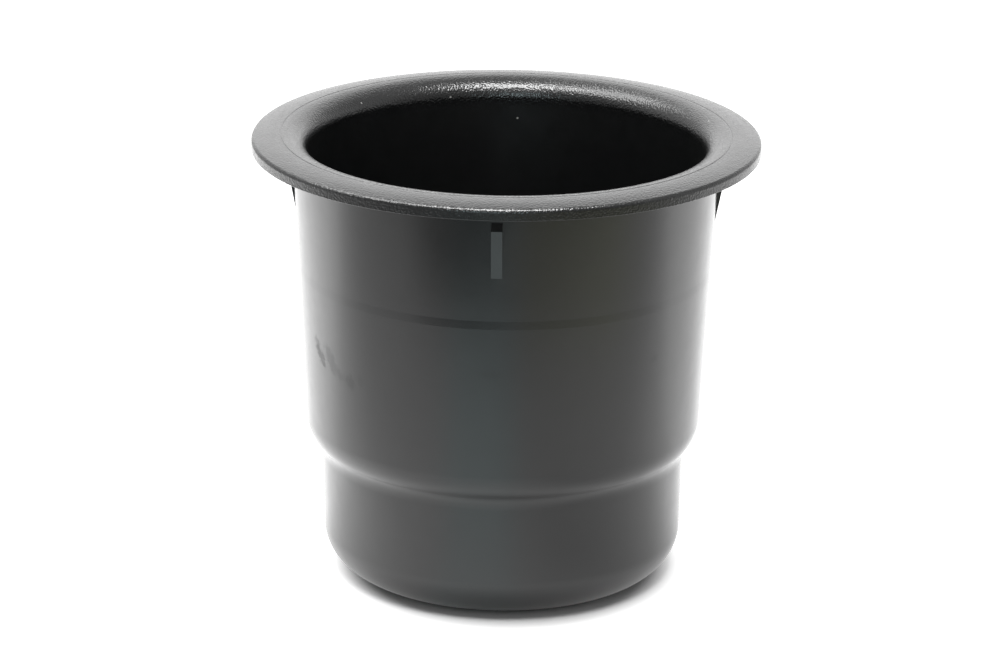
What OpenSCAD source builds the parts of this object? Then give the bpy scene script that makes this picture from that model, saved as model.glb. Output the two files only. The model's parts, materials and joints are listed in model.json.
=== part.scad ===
// Drop-in cup holder, moulded in one piece of black plastic.
// A crowned flange rests on the panel, a stepped cup hangs through the hole,
// and fins below the flange snap under the edge of the hole.
// Millimetres, +Z up. The origin is the middle of the flat underside,
// and the first fin points along +X.

/* [Panel] */
// Diameter of the hole that the cup drops into
hole_d = 92; // [84:0.5:104]
// Gap between the cup and the hole, just under the flange
hole_gap = 0.7; // [0.2:0.1:2]
// Thickness of the thickest panel that the fins snap under
panel_t = 3.6; // [2:0.1:6]
// Play between that panel and the fins
panel_gap = 0.3; // [0.1:0.1:1]

/* [Flange] */
// How far the flange reaches past the edge of the hole
flange_overlap = 8; // [6:0.5:20]
// Height of the rim above the panel
flange_t = 3.2; // [3:0.1:6]
// Radius of the shallow crown across the flange
crown_r = 24; // [14:1:80]
// Radius of the flange's upper edge
edge_r = 0.9; // [0.5:0.1:2]
// Radius of the flange's lower edge
lip_r = 0.15; // [0.1:0.05:0.9]
// Radius of the upper part of the flare, where the rim turns down into the cup
mouth_r = 6.5; // [3:0.1:8]
// How far the upper part of the flare turns, in degrees
mouth_turn = 35; // [20:5:60]
// Radius of the lower part of the flare, down to the wall of the cup
throat_r = 4; // [2:0.1:6]
// Radius of the corner between the flange and the cup
root_r = 0.5; // [0.2:0.1:1]

/* [Cup] */
// Height of the whole holder, from the underside to the top of the rim
height = 96.5; // [80:0.5:140]
// Thickness of the cup's wall
wall = 3.2; // [1.6:0.1:4]
// Thickness of the cup's floor
floor_t = 3; // [1.6:0.1:5]
// Slope of the cup's wall from upright, in degrees
draft = 2.9; // [0.5:0.1:5]
// Height at which the wall starts to curve in to the step
shoulder_z = 34.2; // [26:0.1:50]
// Radius of the rounded shoulder above the step
shoulder_r = 8.6; // [5:0.2:12]

/* [Foot] */
// How far the foot is set in from the cup at the step
step_w = 3.5; // [2:0.05:12]
// Radius of the hollow corner under the shoulder
step_r = 5.5; // [1:0.1:8]
// Slope of the foot's wall from upright, in degrees
foot_draft = 1.3; // [0.5:0.1:4]
// Radius of the corner round the underside
base_r = 9.5; // [5:0.5:14]

/* [Fins] */
// Number of fins
fin_count = 4; // [3:1:12]
// Thickness of a fin
fin_t = 2.3; // [1.2:0.1:5]
// Height of a fin's lead-in, from its widest place down to its tip
fin_h = 10.6; // [6:0.1:16]
// How far a fin reaches past the edge of the hole
fin_grip = 0.6; // [0.3:0.1:4]
// Slope of the face above the widest place, which snaps under the panel, in degrees
fin_back = 45; // [30:5:60]

/* [Mould lines] */
// Distance of the line round the cup below the underside of the flange
seam_drop = 25.4; // [24:0.1:40]
// Height of that line, a faint slope between two parts of the mould
seam_h = 1.8; // [0.4:0.1:3]
// How far the cup stands proud below that line
seam_step = 0.06; // [0.02:0.01:0.3]
// Distance of the ring line on the flange from the flange's edge
ring_inset = 6.2; // [3.5:0.1:6.6]
// Width of the ring line
ring_w = 0.3; // [0.2:0.02:0.6]
// Depth of the ring line
ring_depth = 0.08; // [0.04:0.01:0.3]

/* [Hidden] */

// Smoothness of the turned surfaces, and the largest turn between two points of an arc
$fn = 180;
arc_step = 2;

body_r = hole_d / 2 - hole_gap;
flange_r = hole_d / 2 + flange_overlap;
seat_z = height - flange_t;
seam_z = seat_z - seam_drop;

// Outer and inner radius of the cup's wall at height z, below the mould line,
// and the outer radius above it
function low_wall_r(z) = high_wall_r(z) + seam_step;
function high_wall_r(z) = body_r - (seat_z - z) * tan(draft);
function bore_r(z) = low_wall_r(z) - wall / cos(draft);

// Middles of the upper part of the flare, which the crown shares, and of the lower part
mouth_z = height - mouth_r;
throat_z = mouth_z + (mouth_r - throat_r) * cos(mouth_turn);
throat_x = bore_r(throat_z) + throat_r / cos(draft);
mouth_x = throat_x + (mouth_r - throat_r) * sin(mouth_turn);

// The crown runs smoothly into the upper edge at this angle
edge_x = flange_r - edge_r;
crown_a = acos((edge_x - mouth_x) / (crown_r - edge_r));
edge_z = height - crown_r + (crown_r - edge_r) * sin(crown_a);

// Middle of the corner between the flange and the cup
root_z = seat_z - root_r;
root_x = high_wall_r(root_z) + root_r / cos(draft);

// Middles of the shoulder and of the hollow corner under it. They meet at step_a,
// or with a flat ledge between them where the step is wider than both radii
shoulder_x = low_wall_r(shoulder_z) - shoulder_r * cos(draft);
shoulder_mid_z = shoulder_z + shoulder_r * sin(draft);
foot_top_r = low_wall_r(shoulder_z) - step_w;
step_x = foot_top_r + step_r * cos(foot_draft);
step_run = step_x - shoulder_x;
step_a = step_run > 0 ? acos(step_run / (shoulder_r + step_r)) : 90;
step_z = shoulder_mid_z - (shoulder_r + step_r) * sin(step_a);

// Outer radius of the foot's wall at height z, and the middles of its lower corners
function foot_r(z) = foot_top_r - (step_z + step_r * sin(foot_draft) - z) * tan(foot_draft);
floor_r = base_r - wall;
base_x = foot_r(base_r) - base_r / cos(foot_draft);
floor_z = floor_t + floor_r;
floor_x = foot_r(floor_z) - (wall + floor_r) / cos(foot_draft);

// Ring line on the flange, and the height of the flange's top at a radius
ring_r = flange_r - ring_inset;
function top_z(r) = r < mouth_x
    ? mouth_z + sqrt(mouth_r * mouth_r - (r - mouth_x) * (r - mouth_x))
    : height - crown_r + sqrt(crown_r * crown_r - (r - mouth_x) * (r - mouth_x));

// Fins: radius and height of the widest place, height of the tip, how deep a fin is
// sunk into the wall, and the radius and height of its top, hidden in the wall
fin_r = hole_d / 2 + fin_grip;
fin_z = seat_z - panel_t - panel_gap - fin_grip * tan(fin_back);
fin_tip_z = fin_z - fin_h;
fin_bite = wall / 8;
fin_top_r = high_wall_r(fin_z) - fin_bite;
fin_top_z = fin_z + (fin_r - fin_top_r) * tan(fin_back);

// Points on an arc about (x, z), from angle a0 to angle a1
function arc(x, z, r, a0, a1) =
    let (n = max(2, ceil(abs(a1 - a0) / arc_step)))
    [for (i = [0:n]) let (a = a0 + (a1 - a0) * i / n) [x + r * cos(a), z + r * sin(a)]];

// Outside of the section, from the mouth over the rim and down to the underside
outside = concat(
    arc(throat_x, throat_z, throat_r, 180 - draft, 90 + mouth_turn),
    arc(mouth_x, mouth_z, mouth_r, 90 + mouth_turn - arc_step, 90),
    arc(mouth_x, height - crown_r, crown_r, 90 - arc_step, crown_a),
    arc(edge_x, edge_z, edge_r, crown_a - arc_step, 0),
    arc(flange_r - lip_r, seat_z + lip_r, lip_r, 0, -90),
    arc(root_x, root_z, root_r, 90, 180 - draft),
    [for (side = [1, -1]) let (z = seam_z + side * seam_h / 2)
        [side > 0 ? high_wall_r(z) : low_wall_r(z), z]],
    arc(shoulder_x, shoulder_mid_z, shoulder_r, -draft, -step_a),
    arc(step_x, step_z, step_r, 180 - step_a, 180 - foot_draft),
    arc(base_x, base_r, base_r, -foot_draft, -90),
    [[0, 0]]
);

// Inside of the section, from the middle of the floor up to the mouth
inside = concat(
    [[0, floor_t]],
    arc(floor_x, floor_z, floor_r, -90, -foot_draft),
    arc(step_x, step_z, step_r + wall, 180 - foot_draft, 180 - step_a),
    arc(shoulder_x, shoulder_mid_z, shoulder_r - wall, -step_a, -draft)
);

// Fine V-shaped cut for the ring line
module ring_cut() {
    translate([ring_r, top_z(ring_r)])
        polygon([[ring_w / 2, ring_w], [-ring_w / 2, ring_w],
                 [-ring_w / 2, 0], [0, -ring_depth], [ring_w / 2, 0]]);
}

// Half section of flange, cup and foot
module section() {
    difference() {
        polygon(concat(outside, inside));
        ring_cut();
    }
}

// One upright fin: a short sloped face above its widest place, and a long lead-in below
module fin() {
    rotate([90, 0, 0]) linear_extrude(fin_t, center = true)
        polygon([
            [fin_top_r, fin_top_z],
            [fin_r, fin_z],
            [high_wall_r(fin_tip_z), fin_tip_z],
            [high_wall_r(fin_tip_z) - fin_bite, fin_tip_z]
        ]);
}

// The whole holder, in one piece
module cup_holder() {
    color("#1d1f20") union() {
        rotate_extrude() section();
        for (i = [0:fin_count - 1]) rotate(i * 360 / fin_count) fin();
    }
}

cup_holder();
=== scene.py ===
"""Studio scene for the drop-in cup holder: its plastic, a pale floor, soft lamps and the camera.

Everything is in metres. The holder stands on the floor at the origin and +Z is up. From the
camera, +X is to the right and +Y is away. Azimuth 0 is +X and 90 is +Y, and angles are in
degrees. A pair whose name ends in X, Y, OUT, HEIGHTS, RADII or EDGE says where a change
starts and where it is full, and OUT is the distance from the origin.
"""

import json
from math import atan2, cos, pi, radians, sin

import bpy
from mathutils import Matrix, Vector

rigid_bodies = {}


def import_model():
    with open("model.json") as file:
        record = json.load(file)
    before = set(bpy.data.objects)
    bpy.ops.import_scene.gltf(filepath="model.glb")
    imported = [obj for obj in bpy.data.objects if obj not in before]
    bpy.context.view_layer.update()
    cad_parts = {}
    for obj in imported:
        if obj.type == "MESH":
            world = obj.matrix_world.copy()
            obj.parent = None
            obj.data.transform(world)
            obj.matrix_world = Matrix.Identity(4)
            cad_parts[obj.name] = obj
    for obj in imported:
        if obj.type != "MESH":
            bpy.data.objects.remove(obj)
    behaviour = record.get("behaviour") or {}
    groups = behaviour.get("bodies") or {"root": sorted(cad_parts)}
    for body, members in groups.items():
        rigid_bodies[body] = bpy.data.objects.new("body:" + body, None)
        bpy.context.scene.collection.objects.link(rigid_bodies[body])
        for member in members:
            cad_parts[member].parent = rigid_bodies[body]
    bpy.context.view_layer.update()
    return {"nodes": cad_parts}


# Camera: from which side it looks, its lens, and the point it looks at.
CAMERA_AZIMUTH = -87.8
CAMERA_ELEVATION = 18.53
CAMERA_ROLL = 0.711
CAMERA_DISTANCE = 0.966
CAMERA_LENS = 161.93
SENSOR_WIDTH = 36.0
CLIP_START = 0.01
TARGET_SIDEWAYS = -0.000855
TARGET_HEIGHT = 0.05155

# Lamps: name, azimuth from the camera's, elevation, distance, width, height, radiance.
LAMPS = (
    ("key_softbox", -5.0, 74.0, 1.0, 0.62, 0.4, 10.3),
    ("side_softbox", -105.0, 56.0, 1.2, 1.0, 0.45, 2.9),
    ("front_strip", -8.0, 30.0, 1.2, 0.3, 0.9, 0.35),
)
LAMP_AIM = Vector((0.0, 0.0, 0.08))

# Light of the world: what it throws on the object, and what the camera sees of it.
WORLD_LIGHT = 0.25
WORLD_SEEN = 1.0
WHITE = (1.0, 1.0, 1.0, 1.0)

# The room in reflections: its brightness near the floor, by place from the front (0) round
# to the back (1). Heights and other places in the room are parts of a direction of length 1.
ROOM = (
    (0.0, 0.18), (0.15, 0.17), (0.25, 0.22), (0.5, 0.46), (0.85, 0.5), (0.93, 0.66), (0.98, 1.2),
)
# Upward it changes to this share of that, and overhead to ROOM_TOP.
ROOM_RISE = 1.02
ROOM_RISE_HEIGHT = 0.65
ROOM_TOP = 0.36
ROOM_TOP_HEIGHTS = (0.6, 0.85)
# High up on the right, at the side and behind, it has this share of its brightness.
ROOM_RIGHT = 0.7
ROOM_RIGHT_X = (0.0, 0.35)
ROOM_RIGHT_Y = (-0.1, 0.3)
ROOM_RIGHT_HEIGHTS = (0.25, 0.5)
# Soft panels that only reflections see: azimuth from the camera's, elevation, angle from the
# middle to where it is full and to its edge, brightness.
SIDE_PANEL = (-95.0, 58.0, 4.0, 34.0, 0.9)
WINDOW = (-8.0, 13.0, 3.0, 9.0, 3.0)
WINDOW_COLOUR = (0.72, 0.95, 1.0, 1.0)

# The floor: half its side, its colour, and the glow that makes it white to the camera.
FLOOR_HALF = 4.0
FLOOR_COLOUR = (0.88, 0.88, 0.88, 1.0)
FLOOR_GLOW = 0.9

# The floor in reflections: its brightness near the holder, by place from the front (0) to
# the back (1) of FLOOR_Y. Over FLOOR_OUT it turns to the room's brightness.
FLOOR_TONES = (
    (0.0, 0.24), (0.094, 0.29), (0.206, 0.39), (0.274, 0.5), (0.36, 0.64), (0.454, 0.7),
    (0.591, 0.79), (0.711, 1.1), (0.775, 1.5), (0.857, 1.58), (1.0, 1.65),
)
FLOOR_Y = (-0.3, 0.12)
FLOOR_OUT = (0.25, 0.7)
# Share of that brightness on the right, by place from the front (0) round to the back (1).
RIGHT_SHARES = (
    (0.0, 0.82), (0.5, 0.82), (0.62, 0.77), (0.72, 0.73), (0.8, 0.78), (0.87, 0.88), (0.95, 1.0),
)
RIGHT_X = (-0.02, 0.05)
# Share far out on the left and right. It ends at the holder's back.
SIDE_SHARE = 0.82
SIDE_X = (0.12, 0.26)
SIDE_END_Y = (-0.03, 0.05)
# Share close to the holder, by place from the left (0) to the right (1) of CLOSE_X. It ends
# further out and at the holder's back.
CLOSE_SHARES = (
    (0.0, 1.25), (0.1, 1.2), (0.35, 0.95), (0.5, 0.96), (0.66, 0.82), (0.73, 0.76), (0.85, 0.82),
)
CLOSE_X = (-0.1, 0.1)
CLOSE_END_OUT = (0.07, 0.13)
CLOSE_END_Y = (-0.01, 0.03)
# Share in a dark patch in front: X and distance of its middle, its half width and half
# depth, and its edge as a share of those halves.
PATCH_SHARE = 0.03
PATCH_X = -0.075
PATCH_OUT = 0.26
PATCH_HALF = (0.105, 0.046)
PATCH_EDGE = (0.65, 1.2)
# Tints of the floor in front, and how strong they are by direction, from the left (0) to
# the right (1). Close to the holder the teal has the share TEAL_CLOSE, and there is no olive.
TEAL = (0.9, 1.04, 1.05, 1.0)
TEAL_SHARES = ((0.0, 0.0), (0.24, 0.0), (0.34, 1.0), (0.52, 1.0), (0.62, 0.0))
TEAL_OUT = (0.05, 0.12)
TEAL_CLOSE = 0.35
OLIVE = (0.98, 1.0, 0.8, 1.0)
OLIVE_SHARES = ((0.0, 0.0), (0.55, 0.0), (0.64, 1.0), (0.92, 1.0), (1.0, 0.0))
OLIVE_OUT = (0.17, 0.21)

# The soft shadow under the holder, as the camera and as reflections see it: its middle,
# how much narrower it is than deep, and its edge.
SHADOW = ((0.001, -0.0031, 0.0), (1.1, 1.0, 1.0), (0.033, 0.044))
MIRRORED_SHADOW = ((0.0, -0.006, 0.0), (1.08, 1.0, 1.0), (0.021, 0.047))

# The plastic.
BLACK = (0.0056, 0.006, 0.0063, 1.0)
SKIN = {
    "IOR": 1.5,
    "Specular IOR Level": 0.95,
    "Coat Roughness": 0.16,
    "Coat IOR": 1.5,
}
# The rim and the mouth, above these heights, are grained. The cup is smoother.
GRAIN_HEIGHTS = (0.0905, 0.093)
GRAIN_SCALE = 2500.0
GRAIN_DEPTH = 9.5e-5
CUP_GRAIN_DEPTH = 1e-6
# Slight unevenness of the whole surface.
WAVE_SCALE = 130.0
WAVE_DEPTH = 2e-5
# Range of the roughness, which varies in a cloudy pattern.
ROUGHNESS = (0.28, 0.33)
ROUGHNESS_SCALE = 260.0
ROUGHNESS_DETAIL = 4.0
# Strength of the coat below and above the mould line round the cup.
COAT = 0.95
COAT_ABOVE = 0.88
SEAM_HEIGHTS = (0.067, 0.0688)
# Most values of a noise lie between these.
NOISE_RANGE = (0.3, 0.7)

# Marks on the cup's wall: angle and height of both ends, width and strength. They are only
# on the outside, beyond these radii, and their edges are ragged.
MARKS = (
    (-152.6, 0.055, -149.3, 0.0517, 0.0025, 1.0),
    (-146.0, 0.0545, -142.6, 0.0514, 0.003, 0.55),
    (-141.3, 0.0516, -139.4, 0.0502, 0.002, 0.5),
    (-136.4, 0.0503, -135.2, 0.0499, 0.003, 0.6),
    (-132.2, 0.0512, -131.0, 0.0511, 0.002, 0.3),
    (-92.85, 0.0571, -88.78, 0.0569, 0.0016, 0.3),
    (-41.9, 0.0567, -41.1, 0.0567, 0.0016, 0.4),
)
WALL_RADIUS = 0.0433
OUTSIDE_RADII = (0.0405, 0.0415)
RAGGED_SCALE = 1100.0
RAGGED_SHIFT = (-0.5, 0.5)
MARK_EDGE = (0.5, 1.3)
# What a full mark adds to the roughness, and the coat that it leaves.
MARK_ROUGHNESS = 0.12
MARK_COAT = 0.45

# Specks of dust: place and radius. Their edge starts and ends at these shares of the radius.
SPECKS = (
    (-0.03273, 0.02767, 0.09442, 0.0002),
    (-0.01395, 0.0398, 0.09285, 0.0002),
    (0.00082, 0.04185, 0.08782, 0.0002),
    (0.04274, 0.01405, 0.09599, 0.0002),
)
SPECK_EDGE = (0.7, 1.3)
DUST = (0.5, 0.5, 0.48, 1.0)


def clear_scene():
    """Removes what an unsaved file starts with."""
    for obj in list(bpy.data.objects):
        bpy.data.objects.remove(obj)


def link(obj):
    bpy.context.scene.collection.objects.link(obj)
    return obj


def around(azimuth, elevation):
    """Direction from the object at an azimuth and elevation in degrees."""
    a, e = radians(azimuth), radians(elevation)
    return Vector((cos(a) * cos(e), sin(a) * cos(e), sin(e)))


class Nodes:
    """Short forms for building one node tree."""

    def __init__(self, tree):
        tree.nodes.clear()
        self.tree = tree

    def add(self, kind, **values):
        node = self.tree.nodes.new(kind)
        for name, value in values.items():
            setattr(node, name, value)
        return node

    def plug(self, source, target):
        self.tree.links.new(source, target)

    def feed(self, target, value):
        """Gives a socket another node's output, or else a value of its own."""
        if isinstance(value, bpy.types.NodeSocket):
            self.plug(value, target)
        else:
            target.default_value = value

    def math(self, operation, a, b=None):
        node = self.add("ShaderNodeMath", operation=operation)
        self.feed(node.inputs[0], a)
        if b is not None:
            self.feed(node.inputs[1], b)
        return node.outputs[0]

    def product(self, *factors):
        """Product of two or more numbers."""
        result = factors[0]
        for factor in factors[1:]:
            result = self.math("MULTIPLY", result, factor)
        return result

    def ramp(self, value, low, high, start=0.0, end=1.0, smooth=False):
        """Ramp from start at low to end at high."""
        node = self.add("ShaderNodeMapRange", interpolation_type="SMOOTHSTEP" if smooth else "LINEAR")
        for name, number in zip(("From Min", "From Max", "To Min", "To Max"), (low, high, start, end)):
            node.inputs[name].default_value = number
        self.plug(value, node.inputs["Value"])
        return node.outputs["Result"]

    def blend(self, share, a, b):
        """Number that goes from a to b as share goes from 0 to 1."""
        node = self.add("ShaderNodeMix", data_type="FLOAT")
        for socket, value in zip(node.inputs[0:1] + node.inputs[2:4], (share, a, b)):
            self.feed(socket, value)
        return node.outputs[0]

    def colours(self, share, a, b):
        """Colour that goes from a to b as share goes from 0 to 1."""
        node = self.add("ShaderNodeMix", data_type="RGBA")
        for name, value in zip(("Factor_Float", "A_Color", "B_Color"), (share, a, b)):
            self.feed(next(socket for socket in node.inputs if socket.identifier == name), value)
        return next(socket for socket in node.outputs if socket.identifier == "Result_Color")

    def vector(self, operation, a, b=None):
        """Result of a vector operation: its number where it has one, or else its vector."""
        node = self.add("ShaderNodeVectorMath", operation=operation)
        self.feed(node.inputs[0], a)
        if b is not None:
            self.feed(node.inputs[1], b)
        return node.outputs["Value" if operation in ("LENGTH", "DOT_PRODUCT") else "Vector"]

    def axes(self, vector):
        node = self.add("ShaderNodeSeparateXYZ")
        self.plug(vector, node.inputs[0])
        return node.outputs

    def join(self, x, y):
        """Vector from two numbers."""
        node = self.add("ShaderNodeCombineXYZ")
        self.plug(x, node.inputs["X"])
        self.plug(y, node.inputs["Y"])
        return node.outputs[0]

    def noise(self, vector, scale, detail=2.0):
        """Cloudy pattern between 0 and 1, with a mean of a half."""
        node = self.add("ShaderNodeTexNoise")
        node.inputs["Scale"].default_value = scale
        node.inputs["Detail"].default_value = detail
        self.plug(vector, node.inputs["Vector"])
        return node.outputs[0]

    def curve(self, value, points):
        """Number read off straight lines between points (place, number), for a value of 0 to 1."""
        node = self.add("ShaderNodeValToRGB")
        stops = node.color_ramp.elements
        while len(stops) < len(points):
            stops.new(0.5)
        for stop, (place, number) in zip(stops, points):
            stop.position = place
            stop.color = (number, number, number, 1.0)
        self.plug(value, node.inputs[0])
        return node.outputs["Color"]

    def level(self, vector):
        """A vector without its upward part."""
        return self.vector("MULTIPLY", vector, (1.0, 1.0, 0.0))


def make_camera():
    data = bpy.data.cameras.new("camera")
    data.sensor_width = SENSOR_WIDTH
    data.lens = CAMERA_LENS
    data.clip_start = CLIP_START
    camera = link(bpy.data.objects.new("camera", data))
    back = around(CAMERA_AZIMUTH, CAMERA_ELEVATION)
    level = Vector((0.0, 0.0, 1.0)).cross(back).normalized()
    upright = back.cross(level)
    roll = radians(CAMERA_ROLL)
    right = level * cos(roll) + upright * sin(roll)
    up = upright * cos(roll) - level * sin(roll)
    place = level * TARGET_SIDEWAYS + Vector((0.0, 0.0, TARGET_HEIGHT)) + back * CAMERA_DISTANCE
    turn = Matrix((right, up, back)).transposed().to_4x4()
    camera.matrix_world = Matrix.Translation(place) @ turn
    bpy.context.scene.camera = camera


def make_lamp(name, azimuth, elevation, distance, width, height, radiance):
    data = bpy.data.lights.new(name, "AREA")
    data.shape = "RECTANGLE"
    data.size = width
    data.size_y = height
    data.energy = radiance * pi * width * height
    lamp = link(bpy.data.objects.new(name, data))
    direction = around(CAMERA_AZIMUTH + azimuth, elevation)
    turn = direction.to_track_quat("Z", "Y").to_matrix().to_4x4()
    lamp.matrix_world = Matrix.Translation(LAMP_AIM + direction * distance) @ turn


def mirror_ray(n, path):
    """1 for rays that a surface reflects or lets through, 0 for others."""
    return n.math("MAXIMUM", path.outputs["Is Glossy Ray"], path.outputs["Is Transmission Ray"])


def room(n, direction):
    """Brightness of the room near the floor in a direction, as reflections see it."""
    backward = n.axes(n.vector("NORMALIZE", n.level(direction)))["Y"]
    return n.curve(n.ramp(backward, -1.0, 1.0), ROOM)


def panel(n, direction, azimuth, elevation, full, edge, brightness):
    """Brightness of a soft round panel in a direction."""
    middle = tuple(around(CAMERA_AZIMUTH + azimuth, elevation))
    near = n.vector("DOT_PRODUCT", direction, middle)
    return n.ramp(near, cos(radians(edge)), cos(radians(full)), 0.0, brightness, smooth=True)


def make_world():
    world = bpy.data.worlds.new("studio")
    bpy.context.scene.world = world
    world.use_nodes = True
    n = Nodes(world.node_tree)
    out = n.add("ShaderNodeOutputWorld")
    path = n.add("ShaderNodeLightPath")
    direction = n.add("ShaderNodeTexCoord").outputs["Generated"]
    x, y, height = n.axes(direction)

    walls = n.product(room(n, direction), n.ramp(height, 0.0, ROOM_RISE_HEIGHT, 1.0, ROOM_RISE))
    right = n.product(n.ramp(x, *ROOM_RIGHT_X), n.ramp(y, *ROOM_RIGHT_Y))
    right = n.product(right, n.ramp(height, *ROOM_RIGHT_HEIGHTS))
    walls = n.product(walls, n.ramp(right, 0.0, 1.0, 1.0, ROOM_RIGHT))
    mirrored = n.blend(n.ramp(height, *ROOM_TOP_HEIGHTS), walls, ROOM_TOP)
    window = panel(n, direction, *WINDOW)
    mirrored = n.math("ADD", n.math("ADD", mirrored, window), panel(n, direction, *SIDE_PANEL))
    in_window = n.product(n.math("DIVIDE", window, mirrored), path.outputs["Is Glossy Ray"])

    strength = n.blend(mirror_ray(n, path), WORLD_LIGHT, mirrored)
    strength = n.blend(path.outputs["Is Camera Ray"], strength, WORLD_SEEN)
    sky = n.add("ShaderNodeBackground")
    n.plug(n.colours(in_window, WHITE, WINDOW_COLOUR), sky.inputs["Color"])
    n.plug(strength, sky.inputs["Strength"])
    n.plug(sky.outputs[0], out.inputs["Surface"])


def clear_of(n, place, middle, shape, edge):
    """0 in a soft shadow on the floor, 1 outside it."""
    away = n.vector("MULTIPLY", n.vector("SUBTRACT", place, middle), shape)
    return n.ramp(n.vector("LENGTH", away), *edge, smooth=True)


def clear_of_patch(n, x, distance):
    """PATCH_SHARE in the dark patch on the floor, 1 outside it."""
    across = n.math("DIVIDE", n.math("SUBTRACT", x, PATCH_X), PATCH_HALF[0])
    outward = n.math("DIVIDE", n.math("SUBTRACT", distance, PATCH_OUT), PATCH_HALF[1])
    off = n.vector("LENGTH", n.join(across, outward))
    return n.ramp(off, *PATCH_EDGE, PATCH_SHARE, 1.0, smooth=True)


def mirrored_floor(n, place):
    """Emission node with what reflections see of the floor."""
    distance = n.vector("LENGTH", place)
    axes = n.axes(place)
    x, y = axes["X"], axes["Y"]
    in_front = n.math("LESS_THAN", y, 0.0)

    backward = n.ramp(n.math("DIVIDE", y, distance), -1.0, 1.0)
    right = n.blend(n.ramp(x, *RIGHT_X, smooth=True), 1.0, n.curve(backward, RIGHT_SHARES))
    sides = n.ramp(n.math("ABSOLUTE", x), *SIDE_X, 1.0, SIDE_SHARE, smooth=True)
    sides = n.blend(n.ramp(y, *SIDE_END_Y), sides, 1.0)
    far = n.math("MAXIMUM", n.ramp(distance, *CLOSE_END_OUT), n.ramp(y, *CLOSE_END_Y))
    close = n.blend(far, n.curve(n.ramp(x, *CLOSE_X), CLOSE_SHARES), 1.0)
    patch = n.blend(in_front, 1.0, clear_of_patch(n, x, distance))
    tone = n.curve(n.ramp(y, *FLOOR_Y), FLOOR_TONES)
    near = n.product(tone, right, sides, close, patch, clear_of(n, place, *MIRRORED_SHADOW))

    sideways = n.ramp(n.math("DIVIDE", x, distance), -1.0, 1.0)
    teal = n.product(n.curve(sideways, TEAL_SHARES), in_front)
    teal = n.product(teal, n.ramp(distance, *TEAL_OUT, TEAL_CLOSE, 1.0))
    olive = n.product(n.curve(sideways, OLIVE_SHARES), in_front, n.ramp(distance, *OLIVE_OUT))

    emission = n.add("ShaderNodeEmission")
    n.plug(n.colours(olive, n.colours(teal, WHITE, TEAL), OLIVE), emission.inputs["Color"])
    n.plug(n.blend(n.ramp(distance, *FLOOR_OUT), near, room(n, place)), emission.inputs["Strength"])
    return emission


def mix_shaders(n, share, a, b):
    """Shader that goes from a to b as share goes from 0 to 1."""
    node = n.add("ShaderNodeMixShader")
    for socket, source in zip(node.inputs, (share, a, b)):
        n.plug(source, socket)
    return node.outputs[0]


def floor_material():
    material = bpy.data.materials.new("pale_floor")
    material.use_nodes = True
    n = Nodes(material.node_tree)
    out = n.add("ShaderNodeOutputMaterial")
    path = n.add("ShaderNodeLightPath")
    place = n.add("ShaderNodeNewGeometry").outputs["Position"]

    paper = n.add("ShaderNodeBsdfDiffuse")
    paper.inputs["Color"].default_value = FLOOR_COLOUR
    glow = n.add("ShaderNodeEmission")
    n.plug(n.product(clear_of(n, place, *SHADOW), FLOOR_GLOW), glow.inputs["Strength"])
    glowing = n.add("ShaderNodeAddShader")
    n.plug(paper.outputs[0], glowing.inputs[0])
    n.plug(glow.outputs[0], glowing.inputs[1])

    seen = mix_shaders(n, path.outputs["Is Camera Ray"], paper.outputs[0], glowing.outputs[0])
    seen = mix_shaders(n, mirror_ray(n, path), seen, mirrored_floor(n, place).outputs[0])
    n.plug(seen, out.inputs["Surface"])
    return material


def make_floor():
    h = FLOOR_HALF
    mesh = bpy.data.meshes.new("floor")
    mesh.from_pydata([(-h, -h, 0), (h, -h, 0), (h, h, 0), (-h, h, 0)], [], [(0, 1, 2, 3)])
    mesh.materials.append(floor_material())
    link(bpy.data.objects.new("floor", mesh))


def unrolled(angle, height):
    """Place on the cup's wall, unrolled flat."""
    return Vector((radians(angle) * WALL_RADIUS, height))


def wall_marks(n, place):
    """How strongly the cup's wall is scuffed, from 0 to 1."""
    axes = n.axes(place)
    round_wall = n.product(n.math("ARCTAN2", axes["Y"], axes["X"]), WALL_RADIUS)
    on_wall = n.join(round_wall, axes["Z"])
    ragged = n.ramp(n.noise(place, RAGGED_SCALE), *NOISE_RANGE, *RAGGED_SHIFT)
    marked = 0.0
    for angle, height, end_angle, end_height, width, strength in MARKS:
        start = unrolled(angle, height)
        end = unrolled(end_angle, end_height)
        run = end - start
        mapping = n.add("ShaderNodeMapping", vector_type="TEXTURE")
        mapping.inputs["Location"].default_value = (*((start + end) / 2), 0.0)
        mapping.inputs["Rotation"].default_value = (0.0, 0.0, atan2(run.y, run.x))
        mapping.inputs["Scale"].default_value = ((run.length + width) / 2, width / 2, 1.0)
        n.plug(on_wall, mapping.inputs["Vector"])
        off = n.math("ADD", n.vector("LENGTH", mapping.outputs[0]), ragged)
        marked = n.math("MAXIMUM", n.ramp(off, *MARK_EDGE, strength, 0.0, smooth=True), marked)
    return n.product(marked, n.ramp(n.vector("LENGTH", n.level(place)), *OUTSIDE_RADII))


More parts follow.
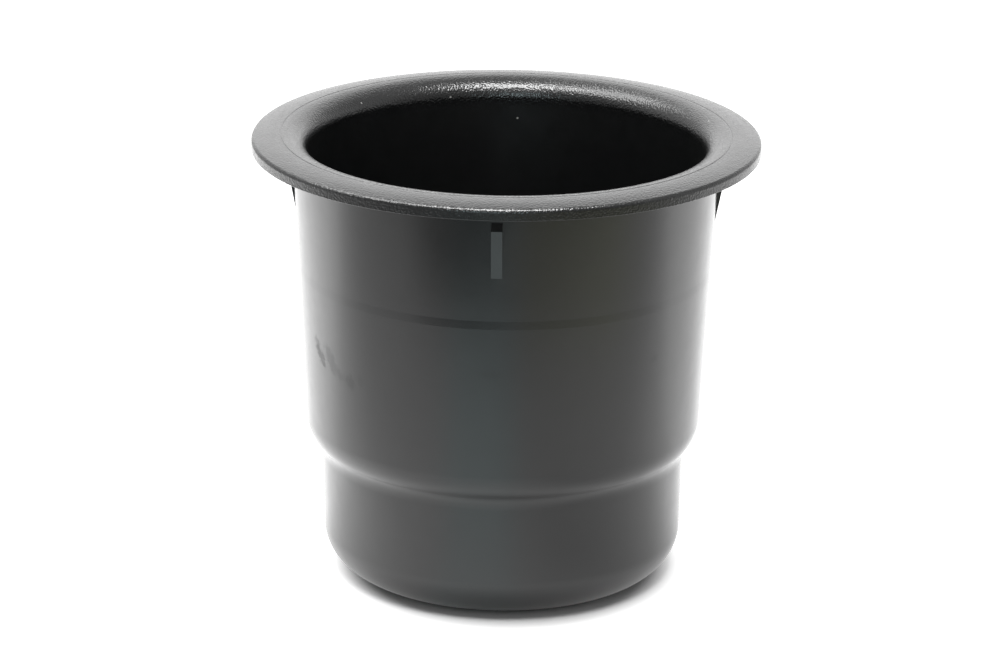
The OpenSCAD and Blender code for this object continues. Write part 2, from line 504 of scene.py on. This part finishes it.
def dust(n, place):
    """1 on the specks of dust, 0 elsewhere."""
    dusty = 0.0
    for *middle, radius in SPECKS:
        away = n.vector("LENGTH", n.vector("SUBTRACT", place, tuple(middle)))
        start, end = (radius * share for share in SPECK_EDGE)
        dusty = n.math("MAXIMUM", n.ramp(away, start, end, 1.0, 0.0), dusty)
    return dusty


def plastic_material():
    material = bpy.data.materials.new("black_plastic")
    material.use_nodes = True
    n = Nodes(material.node_tree)
    out = n.add("ShaderNodeOutputMaterial")
    skin = n.add("ShaderNodeBsdfPrincipled")
    for name, number in SKIN.items():
        skin.inputs[name].default_value = number
    place = n.add("ShaderNodeTexCoord").outputs["Object"]
    height = n.axes(place)["Z"]
    marked = wall_marks(n, place)
    dusty = dust(n, place)

    rim = n.ramp(height, *GRAIN_HEIGHTS, smooth=True)
    grain_depth = n.blend(rim, CUP_GRAIN_DEPTH, GRAIN_DEPTH)
    grain = n.product(n.noise(place, GRAIN_SCALE, 0.0), grain_depth)
    wave = n.product(n.noise(place, WAVE_SCALE), WAVE_DEPTH)
    bump = n.add("ShaderNodeBump")
    bump.inputs["Strength"].default_value = 1.0
    bump.inputs["Distance"].default_value = 1.0
    n.plug(n.math("ADD", grain, wave), bump.inputs["Height"])
    n.plug(bump.outputs[0], skin.inputs["Normal"])
    n.plug(bump.outputs[0], skin.inputs["Coat Normal"])

    cloudy = n.noise(place, ROUGHNESS_SCALE, ROUGHNESS_DETAIL)
    rough = n.ramp(cloudy, *NOISE_RANGE, *ROUGHNESS)
    rough = n.math("ADD", rough, n.product(marked, MARK_ROUGHNESS))
    n.plug(rough, skin.inputs["Roughness"])

    coat = n.ramp(height, *SEAM_HEIGHTS, COAT, COAT_ABOVE, smooth=True)
    coat = n.blend(marked, coat, MARK_COAT)
    n.plug(n.blend(dusty, coat, 0.0), skin.inputs["Coat Weight"])

    n.plug(n.colours(dusty, BLACK, DUST), skin.inputs["Base Color"])
    n.plug(skin.outputs[0], out.inputs["Surface"])
    return material


clear_scene()
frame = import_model()

make_camera()
for lamp in LAMPS:
    make_lamp(*lamp)
make_world()
make_floor()
bpy.context.scene.view_settings.view_transform = "Standard"

holder = frame["nodes"]["cup_holder"]
holder.material_slots[0].material = plastic_material()
